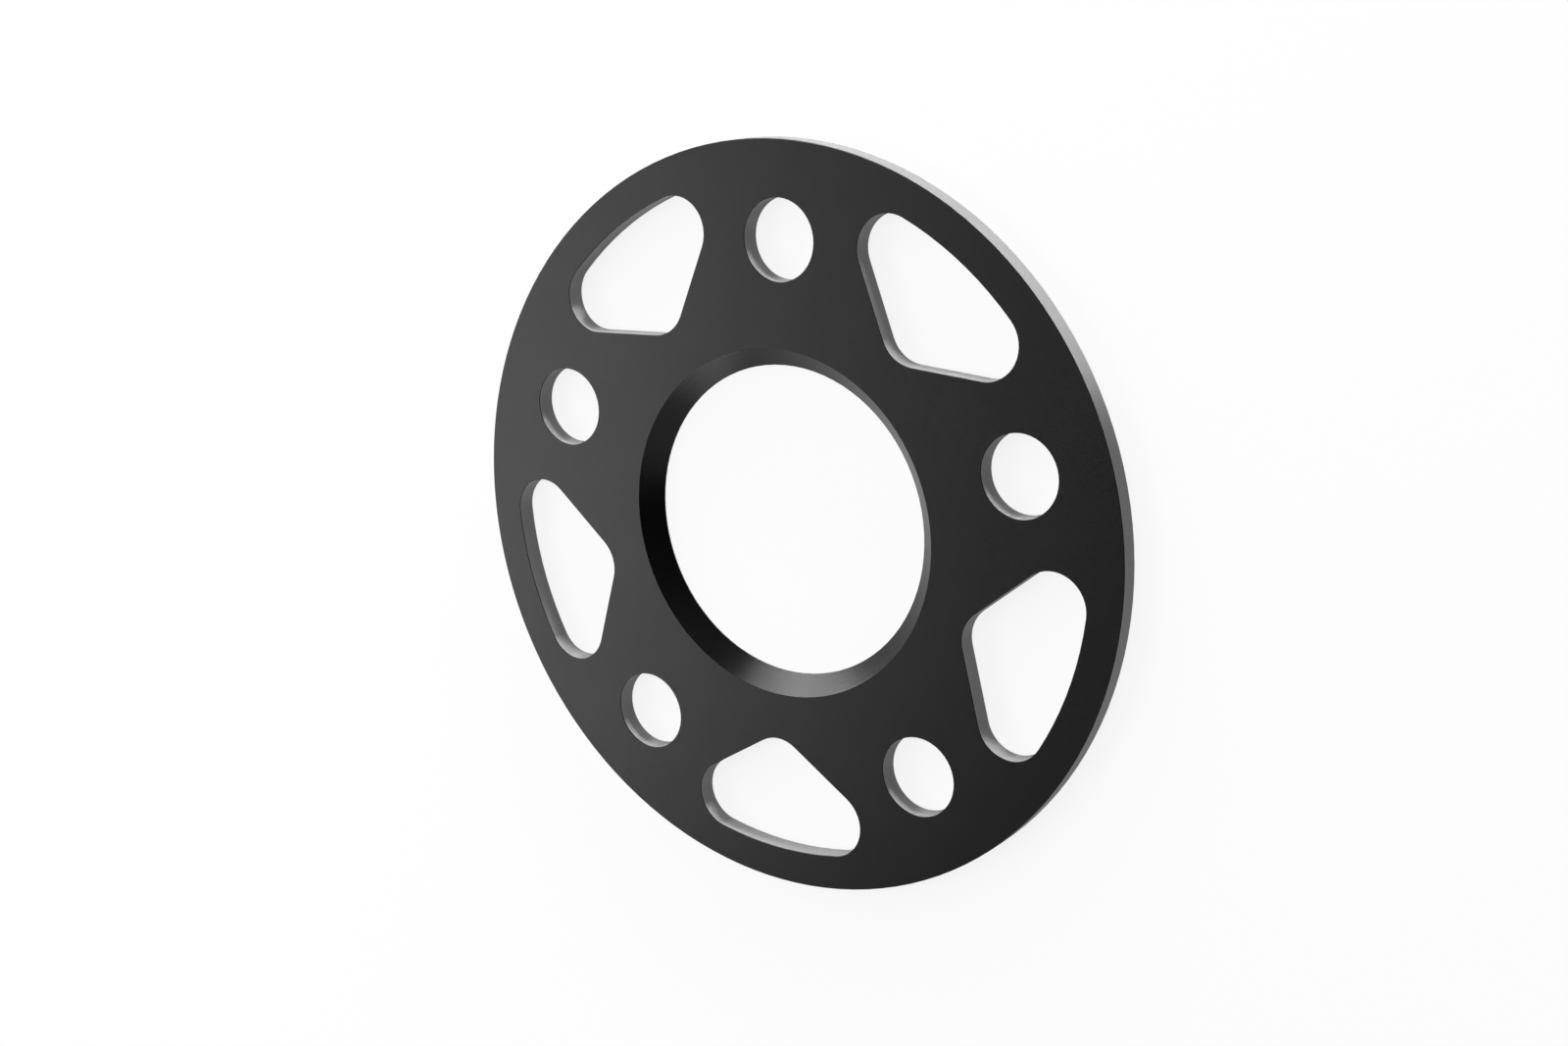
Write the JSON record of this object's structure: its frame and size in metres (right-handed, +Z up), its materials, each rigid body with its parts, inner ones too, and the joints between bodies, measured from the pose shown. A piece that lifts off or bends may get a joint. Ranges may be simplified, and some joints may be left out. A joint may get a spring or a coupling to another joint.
{
  "type": "wheel spacer",
  "caption": "Flat round wheel spacer with evenly spaced bolt holes, rounded triangular lightening pockets between them and a countersunk hub bore.",
  "frame": {"origin": "on the bore's axis, in the plane of the wheel face, which the disc lies on", "axes": "+Z up along the bore's axis, towards the hub face, where the countersink opens; +Y through the centre of a bolt hole"},
  "size_m": [0.15, 0.15, 0.004],
  "materials": {
    "anodised_aluminium": "satin black anodised"
  },
  "bodies": {
    "root": {"spacer_disc": "anodised_aluminium"}
  },
  "joints": []
}
